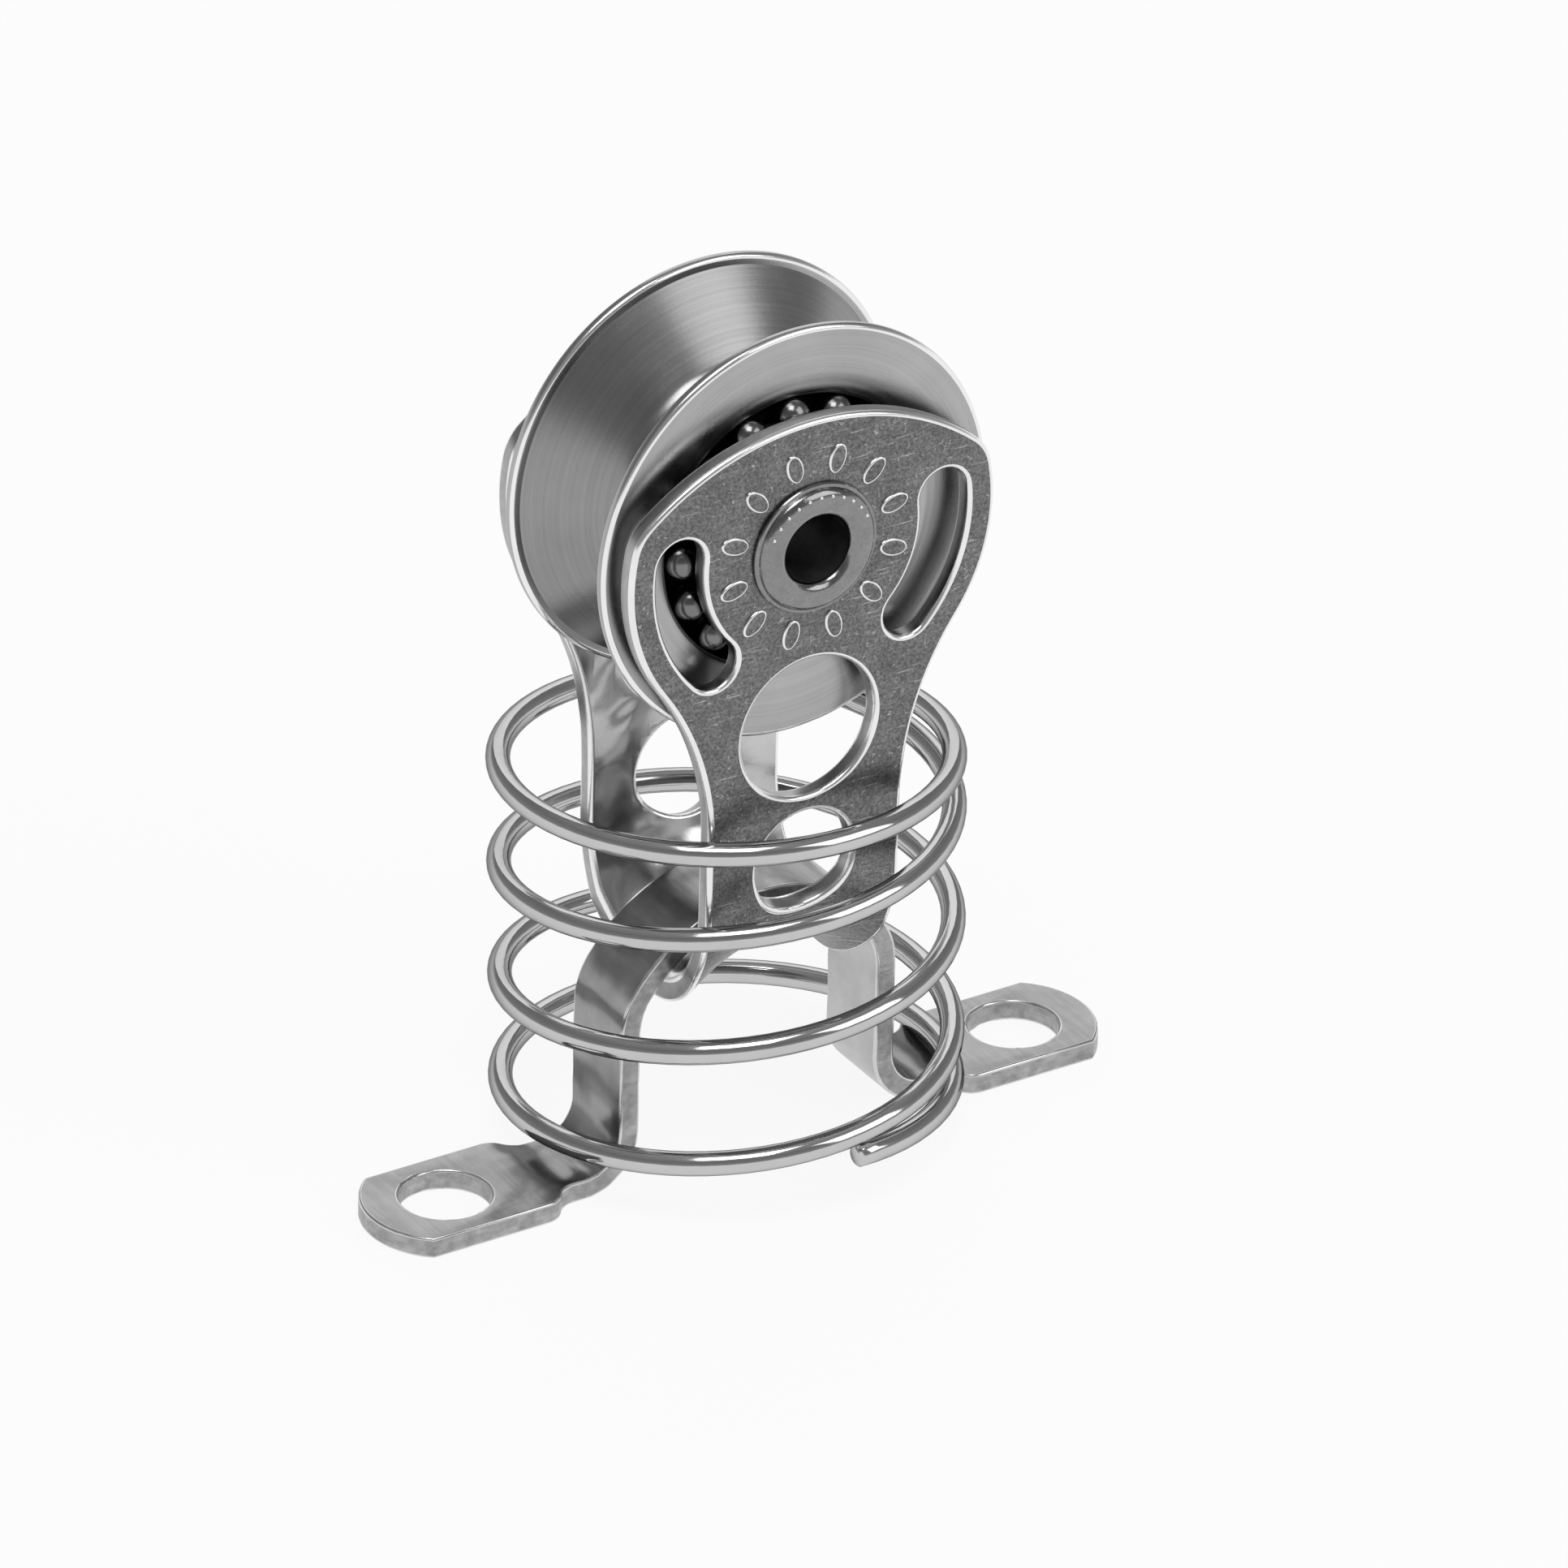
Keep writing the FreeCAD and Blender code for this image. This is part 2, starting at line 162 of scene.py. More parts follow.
# Coil spring
WIRE_R = 0.71
WIRE_BEVEL = 0.09
COIL_R = 12.87
COIL_X = 0.8
COIL_Y = 1.98
COIL_LEAN = 2.0
COIL_PITCH = 7.15
COIL_TIP = -87.0
COIL_TURNS = 4.31
CLOSING_TURNS = 0.958
COIL_LOW_Z = 2.01
COIL_END_GAP = 0.04

# Numbers of a piece's materials
FACE, SHEET_RIM, WALL, INSIDE = range(4)
SIDE, TRACK, WHEEL_RIM, GROOVE = range(4)
OUTSIDE, BORE = range(2)

# Camera and light
SENSOR = 36
PHOTO_PIXELS = 1932
PIXELS_PER_MM = 21.9
CAMERA_DISTANCE = 800.0
CAMERA_AIM = (2.97, 0.0, 21.62)
CAMERA_ROLL, CAMERA_TILT, CAMERA_PAN = -1.37, -60.64, 32.67
LAMP_TARGET = Vector((0, 0, 0.03))
FLOOR_HALF = 1.5
FLOOR_GREY = 0.8
FLOOR_GLOW = 0.9
ROOM_GREY = 0.5
# Height of a direction, from 0 straight down to 1 straight up, and the room's grey there
SKY = [(0.53, 1.0), (0.60, 0.32), (0.80, 0.22), (1.0, 0.35)]


def on_circle(cx, cz, radius, degrees):
    turn = math.radians(degrees)
    return cx + radius * math.cos(turn), cz + radius * math.sin(turn)


def arc(cx, cz, radius, start, end, count):
    """Points of an arc, both ends included."""
    return [on_circle(cx, cz, radius, start + (end - start) * i / count) for i in range(count + 1)]


def circle(cx, cz, radius, count):
    return arc(cx, cz, radius, 0, 360, count)[:-1]


def quarter(count, first=0):
    """Angles of a quarter turn in equal steps."""
    return [math.pi / 2 * i / count for i in range(first, count + 1)]


def bmesh_of(verts, faces):
    """A bmesh from a list of points and a list of faces, in the same order."""
    mesh = bpy.data.meshes.new("points")
    mesh.from_pydata(verts, [], faces)
    bm = bmesh.new()
    bm.from_mesh(mesh)
    bpy.data.meshes.remove(mesh)
    return bm


def hand_over(name, bm, body, materials, replaces=(), sharp=60):
    """Makes a smooth piece in metres of a closed bmesh and hands it to the frame."""
    bmesh.ops.recalc_face_normals(bm, faces=bm.faces[:])
    mesh = bpy.data.meshes.new(name)
    bm.to_mesh(mesh)
    bm.free()
    mesh.transform(Matrix.Scale(MM, 4))
    mesh.shade_smooth()
    mesh.set_sharp_from_angle(angle=math.radians(sharp))
    obj = bpy.data.objects.new(name, mesh)
    bpy.context.scene.collection.objects.link(obj)
    for material in materials:
        mesh.materials.append(material)
    if body:
        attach(obj, body)
    if replaces:
        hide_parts(*replaces)
    return obj


def plate(outline, holes, thickness, rounding):
    """A flat plate with rounded rims in the XY plane, as a bmesh. Z is through the sheet."""
    curve = bpy.data.curves.new("plate", "CURVE")
    curve.dimensions = "2D"
    curve.fill_mode = "BOTH"
    curve.extrude = thickness / 2 - rounding
    curve.bevel_depth = rounding
    curve.bevel_resolution = 3
    curve.offset = -rounding
    for loop in [outline] + holes:
        spline = curve.splines.new("POLY")
        spline.points.add(len(loop) - 1)
        for point, (x, y) in zip(spline.points, loop):
            point.co = (x, y, 0, 1)
        spline.use_cyclic_u = True
    holder = bpy.data.objects.new("plate", curve)
    mesh = bpy.data.meshes.new_from_object(holder)
    bm = bmesh.new()
    bm.from_mesh(mesh)
    bpy.data.objects.remove(holder)
    bpy.data.curves.remove(curve)
    bpy.data.meshes.remove(mesh)
    same_place, still_flat = 1e-4, 0.005
    bmesh.ops.remove_doubles(bm, verts=bm.verts[:], dist=same_place)
    bmesh.ops.dissolve_limit(bm, angle_limit=still_flat, verts=bm.verts[:], edges=bm.edges[:])
    return bm


def cut_across(bm, normal, values):
    """Cuts a flat plate along lines, so that it can bend there."""
    on_line = 1e-5
    for value in values:
        everything = bm.verts[:] + bm.edges[:] + bm.faces[:]
        bmesh.ops.bisect_plane(bm, geom=everything, plane_co=normal * value, plane_no=normal,
                               dist=on_line)


def mark_sheet(bm, thickness, rounding):
    """Numbers a plate's materials: its two faces, its rounded rims and its cut wall."""
    rim_start = thickness / 2 - rounding
    rim_end = thickness / 2 - rounding * 0.01
    for face in bm.faces:
        height = abs(sum(v.co.z for v in face.verts) / len(face.verts))
        if height > rim_end:
            face.material_index = INSIDE if face.calc_center_median().z < 0 else FACE
        else:
            face.material_index = SHEET_RIM if height > rim_start else WALL


# Housing


def seam_height(x):
    """Height of the line where the flat stem runs into the saddle bend."""
    return SADDLE_Z + math.sqrt(BEND_REACH ** 2 - x ** 2)


def unfold(x, z):
    """Flat-pattern length of a point of the near cheek's side view."""
    if z >= EASE_Z:
        return BEND_LENGTH + z - BEND_Z
    seam = seam_height(x)
    if z >= seam:
        return BEND_LENGTH + (EASE_Z - BEND_Z) * (z - seam) / (EASE_Z - seam)
    reach = math.hypot(x, z - SADDLE_Z)
    return BEND_LENGTH - STEM_MID * math.asin((BEND_REACH - reach) / STEM_MID)


def sheet_middle(z):
    """Distance of the sheet's middle from the block's middle plane, across the joggle."""
    share = min(1.0, max(0.0, (z - JOGGLE_LOW_Z) / (JOGGLE_TOP_Z - JOGGLE_LOW_Z)))
    return STEM_MID + (HEAD_MID - STEM_MID) * share


def fold(x, length, through):
    """Flat pattern to the folded fork. Positive lengths are the near cheek."""
    side = -1.0 if length > 0 else 1.0
    beyond = abs(length) - BEND_LENGTH
    if beyond >= 0:
        ease = EASE_Z - BEND_Z
        if beyond >= ease:
            z = BEND_Z + beyond
        else:
            z = EASE_Z - (ease - beyond) * (EASE_Z - seam_height(x)) / ease
        return Vector((x, side * (sheet_middle(z) + through), z))
    turn = -beyond / STEM_MID
    radius = STEM_MID + through
    reach = BEND_REACH - radius * math.sin(turn)
    z = SADDLE_Z + math.sqrt(reach ** 2 - x ** 2)
    return Vector((x, side * radius * math.cos(turn), z))


def bend_half_width(turn):
    """Half width of the sheet in the bend, where it tapers with its height."""
    reach = BEND_REACH - STEM_MID * math.sin(turn)
    half = STEM_HALF
    for _ in range(20):
        z = SADDLE_Z + math.sqrt(reach ** 2 - half ** 2)
        share = min(1.0, max(0.0, (TAPER_TOP_Z - z) / (TAPER_TOP_Z - TAPER_LOW_Z)))
        half = 0.5 * half + 0.5 * (STEM_HALF - (STEM_HALF - BEND_HALF) * share)
    return half


def cheek_outline():
    """Right half of a cheek's side view, from its top down to the stem."""
    neck_x = STEM_HALF + NECK_R
    neck_z = AXLE_Z - math.sqrt((HEAD_R + NECK_R) ** 2 - neck_x ** 2)
    neck_turn = math.degrees(math.atan2(neck_z - AXLE_Z, neck_x))
    drop = HEAD_TOP_R - HEAD_TOP_RISE
    side_reach = HEAD_R - HEAD_CORNER_R
    top_reach = HEAD_TOP_R - HEAD_CORNER_R
    rise = (top_reach ** 2 - side_reach ** 2 - drop ** 2) / (2 * drop)
    corner_x = math.sqrt(side_reach ** 2 - rise ** 2)
    corner_z = AXLE_Z + rise
    side_turn = math.degrees(math.atan2(rise, corner_x))
    top_turn = math.degrees(math.atan2(rise + drop, corner_x))
    points = arc(0, AXLE_Z - drop, HEAD_TOP_R, 90, top_turn, 24)
    points += arc(corner_x, corner_z, HEAD_CORNER_R, top_turn, side_turn, 14)[1:]
    points += arc(0, AXLE_Z, HEAD_R, side_turn, neck_turn, 48)[1:]
    return points + arc(neck_x, neck_z, NECK_R, 180 + neck_turn, 180, 24)[1:]


def housing_outline():
    """The whole flat pattern, which is the same to the left and right and for both cheeks."""
    half = [(x, unfold(x, z)) for x, z in cheek_outline()]
    half += [(STEM_HALF, BEND_LENGTH)]
    half += [(bend_half_width(turn), BEND_LENGTH - STEM_MID * turn) for turn in quarter(20, 1)]
    half += [(x, -length) for x, length in reversed(half[:-1])]
    return half + [(-x, length) for x, length in reversed(half[1:-1])]


def slot_loop(side):
    """Curved slot beside the axle, with round ends."""
    points = arc(0, AXLE_Z, SLOT_R + SLOT_HALF, SLOT_BOTTOM, SLOT_TOP, 24)
    cx, cz = on_circle(0, AXLE_Z, SLOT_R, SLOT_TOP)
    points += arc(cx, cz, SLOT_HALF, SLOT_TOP, SLOT_TOP + 180, 16)[1:]
    points += arc(0, AXLE_Z, SLOT_R - SLOT_HALF, SLOT_TOP, SLOT_BOTTOM, 20)[1:]
    cx, cz = on_circle(0, AXLE_Z, SLOT_R, SLOT_BOTTOM)
    points += arc(cx, cz, SLOT_HALF, SLOT_BOTTOM + 180, SLOT_BOTTOM + 360, 16)[1:-1]
    return [(side * x, z) for x, z in points]


def build_housing(materials):
    loops = [circle(0, AXLE_Z, RIVET_HOLE_R, 64),
             circle(0, AXLE_Z - LARGE_HOLE_DROP, LARGE_HOLE_R, 96),
             circle(0, AXLE_Z - SMALL_HOLE_DROP, SMALL_HOLE_R, 80),
             slot_loop(1), slot_loop(-1)]
    holes = []
    for loop in loops:
        flat = [(x, unfold(x, z)) for x, z in loop]
        holes += [flat, [(x, -length) for x, length in flat]]
    bm = plate(housing_outline(), holes, SHEET, SHEET_ROUND)
    mark_sheet(bm, SHEET, SHEET_ROUND)
    bend = [BEND_LENGTH * i / 22 for i in range(-22, 23)]
    joggle = [BEND_LENGTH + z - BEND_Z for z in JOGGLE_CUTS]
    ease = [BEND_LENGTH + (EASE_Z - BEND_Z) * i / 5 for i in range(1, 5)]
    cut_across(bm, Vector((0, 1, 0)), bend + joggle + ease + [-v for v in joggle + ease])
    cut_across(bm, Vector((1, 0, 0)), [COLUMN * i for i in range(-10, 11)])
    for vert in bm.verts:
        vert.co = fold(*vert.co)
    return hand_over("housing_sheet", bm, "block", materials, ["housing"], 40)


# Mounting bow


def bow_runs():
    """The runs of half the bow, from the crown to the foot.

    Each run has its length, the number of cuts that bend it, and a function that gives the
    place (x, z) for a way along it and a height over the strip's middle."""
    half = LEG_HALF_SPAN - STRIP / 2
    crown_r = CROWN_R - STRIP / 2
    shoulder_r = SHOULDER_R + STRIP / 2
    shoulder_x = half - shoulder_r
    shoulder_z = CROWN_Z + math.sqrt((crown_r - shoulder_r) ** 2 - shoulder_x ** 2)
    crown_turn = math.atan2(shoulder_x, shoulder_z - CROWN_Z)
    bend_r = FOOT_BEND_R + STRIP / 2
    bend_x = half + bend_r
    bend_z = STRIP / 2 + bend_r

    def crown(way, through):
        turn = way / crown_r
        radius = crown_r + through
        return radius * math.sin(turn), CROWN_Z + radius * math.cos(turn)

    def shoulder(way, through):
        turn = crown_turn + way / shoulder_r
        radius = shoulder_r + through
        return shoulder_x + radius * math.sin(turn), shoulder_z + radius * math.cos(turn)

    def leg(way, through):
        return half + through, shoulder_z - way

    def foot_bend(way, through):
        turn = way / bend_r
        radius = bend_r - through
        return bend_x - radius * math.cos(turn), bend_z - radius * math.sin(turn)

    def foot(way, through):
        return bend_x + way, STRIP / 2 + through

    def steps(length):
        return max(2, round(length / BEND_STEP))

    crown_length = crown_r * crown_turn
    shoulder_length = shoulder_r * (math.pi / 2 - crown_turn)
    bend_length = bend_r * math.pi / 2
    return [(crown_length, steps(crown_length), crown),
            (shoulder_length, steps(shoulder_length), shoulder),
            (shoulder_z - bend_z, LEG_STEPS, leg),
            (bend_length, steps(bend_length), foot_bend),
            (math.inf, 0, foot)]


BOW_RUNS = bow_runs()
FOOT_START = sum(length for length, _, _ in BOW_RUNS[:-1])
FOOT_START_X = LEG_HALF_SPAN + FOOT_BEND_R


def bend_bow(length, across, through):
    """Flat strip to the bent bow. The strip's upper face is the bow's outside."""
    way = abs(length)
    for run_length, _, place in BOW_RUNS:
        if way < run_length:
            break
        way -= run_length
    x, z = place(way, through)
    return Vector((math.copysign(x, length), across, z))


def strip_outline():
    """The flat strip: straight sides that widen to two feet with round ends."""
    shift = FOOT_START - FOOT_START_X
    drop = (FOOT_HALF - STRIP_HALF) / 2
    run = math.sqrt(OGEE_R ** 2 - (OGEE_R - drop) ** 2)
    turn = math.degrees(math.asin(run / OGEE_R))
    wide_x = FOOT_HOLE_X - FOOT_SHOULDER
    end_turn = math.degrees(math.asin(FOOT_HALF / FOOT_END_R))
    foot = arc(wide_x - 2 * run, STRIP_HALF + OGEE_R, OGEE_R, 270, 270 + turn, 8)
    foot += arc(wide_x, FOOT_HALF - OGEE_R, OGEE_R, 90 + turn, 90, 8)[1:]
    foot += arc(FOOT_HOLE_X, 0, FOOT_END_R, end_turn, 0, 20)
    upper = [(x + shift, y) for x, y in foot]
    right = upper + [(x, -y) for x, y in reversed(upper[:-1])]
    return right + [(-x, y) for x, y in reversed(right)]


def raggedness(length, across, through):
    """How far the strip's sheared edge is worn back at a place."""
    coarse = noise.noise((length * 0.9, across * 3, through * 1.2))
    fine = noise.noise((length * 2.6, across * 5, through * 2.5))
    return RAGGED_DEPTH * abs(coarse + 0.5 * fine)


def build_bow(materials):
    hole = circle(FOOT_HOLE_X + FOOT_START - FOOT_START_X, 0, FOOT_HOLE_R, 80)
    bm = plate(strip_outline(), [hole, [(-x, y) for x, y in hole]], STRIP, STRIP_ROUND)
    mark_sheet(bm, STRIP, STRIP_ROUND)
    cuts = []
    begin = 0.0
    for length, steps, _ in BOW_RUNS[:-1]:
        cuts += [begin + length * i / steps for i in range(steps + 1)]
        begin += length
    cuts = sorted(set(round(cut, 4) for cut in cuts))
    cut_across(bm, Vector((1, 0, 0)), cuts + [-cut for cut in cuts if cut > 0])
    cut_across(bm, Vector((0, 1, 0)), STRIP_LINES)
    for vert in bm.verts:
        length, across, through = vert.co
        if STRIP_HALF - RAGGED_BAND < abs(across) < STRIP_HALF + 0.01:
            across -= math.copysign(raggedness(length, across, through), across)
        vert.co = bend_bow(length, across, through)
    return hand_over("deck_bow", bm, "base", materials, ["mounting_bow"], 40)


# Turned pieces


def lathe(name, half, body, materials, node, segments=96, sharp=30, part_of=None):
    """Turns a profile of (radius, width) about the axle. It is given for the far half.

    part_of gives a face's material from the radius and width of its middle."""
    profile = half + [(r, -y) for r, y in reversed(half) if y > 0]
    count = len(profile)
    verts = []
    faces = []
    for i in range(segments):
        turn = 2 * math.pi * i / segments
        here = i * count
        there = (i + 1) % segments * count
        for j, (radius, width) in enumerate(profile):
            verts.append((radius * math.cos(turn), width, AXLE_Z + radius * math.sin(turn)))
            k = (j + 1) % count
            faces.append((here + j, here + k, there + k, there + j))
    bm = bmesh_of(verts, faces)
    if part_of:
        for i, face in enumerate(bm.faces):
            (r1, y1), (r2, y2) = profile[i % count], profile[(i + 1) % count]
            face.material_index = part_of((r1 + r2) / 2, abs(y1 + y2) / 2)
    return hand_over(name, bm, body, materials, [node], sharp)


def wheel_half():
    """Half profile: groove root, flat wall tangent to it, thin rounded rim, dished face, track."""
    shoulder_r = WHEEL_R - RIM_ROUND - RIM_LAND
    root_middle = ROOT_R + ROOT_ROUND
    # The wall starts where a line from the rim's shoulder touches the root's arc.
    run = shoulder_r - root_middle
    touch = math.acos(ROOT_ROUND / math.hypot(run, RIM_INNER))
    wall_turn = math.pi - math.atan2(RIM_INNER, run) - touch
    points = [(root_middle - ROOT_ROUND * math.cos(a), ROOT_ROUND * math.sin(a))
              for a in [wall_turn * i / 10 for i in range(11)]]
    edge_r = WHEEL_R - RIM_ROUND
    points += [(shoulder_r, RIM_INNER), (edge_r, RIM_INNER)]
    points += [(edge_r + RIM_ROUND * math.sin(a), RIM_INNER + RIM_ROUND - RIM_ROUND * math.cos(a))
               for a in quarter(6, 1)]
    points += [(edge_r + RIM_ROUND * math.cos(a), WHEEL_HALF - RIM_ROUND + RIM_ROUND * math.sin(a))
               for a in quarter(6)]
    face = WHEEL_HALF - DISH_DEPTH
    points += [(DISH_R + DISH_EASE[0], face + DISH_EASE[1]), (DISH_R, face),
               (MOUTH_R + MOUTH_ROUND, face),
               (MOUTH_R + MOUTH_ROUND / 4, face - MOUTH_ROUND / 4),
               (MOUTH_R, face - MOUTH_ROUND), (MOUTH_R, BALL_ROW),
               (BALL_PITCH + TRACK_R, BALL_ROW)]
    track_turn = math.acos((LAND_R - BALL_PITCH) / TRACK_R)
    points += [(BALL_PITCH + TRACK_R * math.cos(a), BALL_ROW - TRACK_R * math.sin(a))
               for a in [track_turn * i / 14 for i in range(1, 15)]]
    return points + [(LAND_R, 0.0)]


def wheel_part(radius, width):
    """The wheel's material at a place. The rim's outermost edge is turned as its sides are."""
    in_root = radius > ROOT_R and width < ROOT_ROUND
    if radius < MOUTH_R + 0.01 and width < BALL_ROW + 0.02 and not in_root:
        return TRACK
    if width < RIM_INNER - 0.1:
        return GROOVE
    return WHEEL_RIM if WHEEL_R - RIM_ROUND < radius < WHEEL_R - 0.05 else SIDE


def rivet_half():
    """Tube whose end is rolled out to a domed flange that runs down into the bore."""
    top = HEAD_OUTER + RIVET_RISE
    edge = HEAD_OUTER + RIVET_EDGE
    points = [(RIVET_TUBE, 0.0), (RIVET_TUBE, HEAD_OUTER),
              (RIVET_FLANGE - RIVET_NIP, HEAD_OUTER), (RIVET_FLANGE, HEAD_OUTER + RIVET_NIP),
              (RIVET_FLANGE, edge - 0.1), (RIVET_FLANGE - 0.05, edge - 0.03),
              (RIVET_FLANGE - 0.16, edge), (RIVET_FLANGE - 0.22, edge)]
    dome = RIVET_FLANGE - RIVET_LEDGE - RIVET_DOME_R
    points += [(RIVET_DOME_R + dome * math.cos(a), edge + (top - edge) * math.sin(a))
               for a in quarter(12, 1)]
    lip = RIVET_LIP_R - RIVET_BORE
    points += [(RIVET_BORE + lip * (1 - math.sin(a)), top - RIVET_LIP_DEPTH * (1 - math.cos(a)))
               for a in quarter(12)]
    return points + [(RIVET_BORE, 0.0)]


def rivet_part(radius, width):
    return BORE if radius < RIVET_BORE + 0.01 else OUTSIDE


def race_half():
    """Turned ring with a neck at its end and a track for each row of balls."""
    end = HEAD_INNER - RACE_END_GAP
    points = [(RACE_BORE, 0.0), (RACE_BORE, end), (RACE_NECK, end), (RACE_NECK, BALL_ROW),
              (BALL_PITCH - TRACK_R, BALL_ROW)]
    track_turn = math.acos((BALL_PITCH - RACE_R) / TRACK_R)
    points += [(BALL_PITCH - TRACK_R * math.cos(a), BALL_ROW - TRACK_R * math.sin(a))
               for a in [track_turn * i / 10 for i in range(1, 11)]]
    return points + [(RACE_R, 0.0)]


def build_balls(material):
    for row, side in (("near", -1), ("far", 1)):
        names = sorted(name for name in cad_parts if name.startswith(row + "_ball_"))
        for number, name in enumerate(names):
            turn = math.radians(BALL_FIRST) + 2 * math.pi * number / len(names)
            centre = Vector((BALL_PITCH * math.cos(turn), side * BALL_ROW,
                             AXLE_Z + BALL_PITCH * math.sin(turn)))
            bm = bmesh.new()
            bmesh.ops.create_uvsphere(bm, u_segments=32, v_segments=20, radius=BALL_R)
            bmesh.ops.translate(bm, vec=centre, verts=bm.verts[:])
            hand_over("steel_" + name, bm, row + "_balls", [material], [name], 80)


# Spring


def coil_height(turns):
    """Rise of the wire after some turns. Each end bends back to lie against the next turn."""
    closed = 2 * WIRE_R + COIL_END_GAP
    end_fall = 2 * (COIL_PITCH - closed) / CLOSING_TURNS - COIL_PITCH
    closed_rise = CLOSING_TURNS * (COIL_PITCH - end_fall) / 2
    if turns < CLOSING_TURNS:
        share = turns / CLOSING_TURNS
        return turns * ((COIL_PITCH + end_fall) * share / 2 - end_fall)
    if turns <= COIL_TURNS - CLOSING_TURNS:
        return closed_rise + (turns - CLOSING_TURNS) * COIL_PITCH
    middle = (COIL_TURNS - 2 * CLOSING_TURNS) * COIL_PITCH
    return 2 * closed_rise + middle - coil_height(COIL_TURNS - turns)


def coil_line(lean):
    """Points along the wire's middle."""
    steps = round(COIL_TURNS * 72)
    heights = [coil_height(COIL_TURNS * i / steps) for i in range(steps + 1)]
    lowest = min(heights)
    foot = Vector((COIL_X, COIL_Y, COIL_LOW_Z))
    line = []
    for i, height in enumerate(heights):
        x, y = on_circle(0, 0, COIL_R, COIL_TIP + 360 * COIL_TURNS * i / steps)
        line.append(foot + lean @ Vector((x, y, height - lowest)))
    return line


def build_spring(material):
    lean = Matrix.Rotation(-math.radians(COIL_LEAN), 3, "X")
    axis = lean @ Vector((0, 0, 1))
    line = coil_line(lean)
    last = len(line) - 1
    sides = 28
    verts = []

    def add_ring(point, out, up, radius):
        for k in range(sides):
            turn = 2 * math.pi * k / sides
            verts.append(point + out * (radius * math.cos(turn)) + up * (radius * math.sin(turn)))

    for i, point in enumerate(line):
        ahead = (line[min(i + 1, last)] - line[max(i - 1, 0)]).normalized()
        out = axis.cross(ahead).normalized()
        up = ahead.cross(out).normalized()
        if i == 0:
            add_ring(point, out, up, WIRE_R - WIRE_BEVEL)
            add_ring(point + ahead * WIRE_BEVEL, out, up, WIRE_R)
        elif i == last:
            add_ring(point - ahead * WIRE_BEVEL, out, up, WIRE_R)
            add_ring(point, out, up, WIRE_R - WIRE_BEVEL)
        else:
            add_ring(point, out, up, WIRE_R)
    faces = []
    for ring in range(0, len(verts) - sides, sides):
        for k in range(sides):
            a = ring + k
            b = ring + (k + 1) % sides
            faces.append((a, b, b + sides, a + sides))
    faces.append(tuple(reversed(range(sides))))
    faces.append(tuple(range(len(verts) - sides, len(verts))))
    obj = hand_over("wire_coil", bmesh_of(verts, faces), None, [material],
                    ["standing_spring"], 50)
    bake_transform(obj)
    return obj


# Marks


def build_marks(materials):
    """A plain ring of oval bosses pressed round the axle: flat tops whose sloping sides carry a
    painted highlight.
    """
    bm = bmesh.new()
    # Each ring of a boss: how far it is drawn in, and its height over the cheek.
    profile = [(0.0, -0.02), (0.0, 0.05), (0.018, 0.1), (0.048, 0.135), (0.09, 0.15), (0.126, 0.15)]
    sides = 40
    for i in range(BOSSES):
        spin = Matrix.Rotation(-2 * math.pi * (i + 0.5) / BOSSES, 4, "Y")
        centre = Vector((0, -HEAD_OUTER, AXLE_Z)) + spin @ Vector((BOSS_RING, 0, 0))
        rings = []
        for inset, height in profile:
            ring = []
            for k in range(sides):
                turn = 2 * math.pi * k / sides
                flat = Vector(((BOSS_LONG - inset) * math.cos(turn), -height,
                               (BOSS_SHORT - inset) * math.sin(turn)))
                ring.append(bm.verts.new(centre + spin @ flat))
            rings.append(ring)
        for lower, upper in zip(rings, rings[1:]):
            for k in range(sides):
                n = (k + 1) % sides
                face = bm.faces.new((lower[k], lower[n], upper[n], upper[k]))
                # The sloping sides get the sheet's near-white rim steel: a painted highlight.
                face.material_index = SHEET_RIM
        bm.faces.new(rings[-1])
        bm.faces.new(list(reversed(rings[0])))
    return hand_over("pressed_marks", bm, "block", materials)


def build_rivet_pips(material):
    """A row of small raised points on the upper half of the rolled flange, on both ends."""
    bm = bmesh.new()
    for side in (-1, 1):
        for i in PIP_USED:
            x, z = on_circle(0, AXLE_Z, PIP_RING, 360 * i / PIP_PLACES)
            made = bmesh.ops.create_uvsphere(bm, u_segments=12, v_segments=8, radius=PIP_R)
            place = (x, side * (HEAD_OUTER + PIP_RISE), z)
            bmesh.ops.translate(bm, vec=place, verts=made["verts"])
    return hand_over("rivet_pips", bm, "block", [material])


# Materials


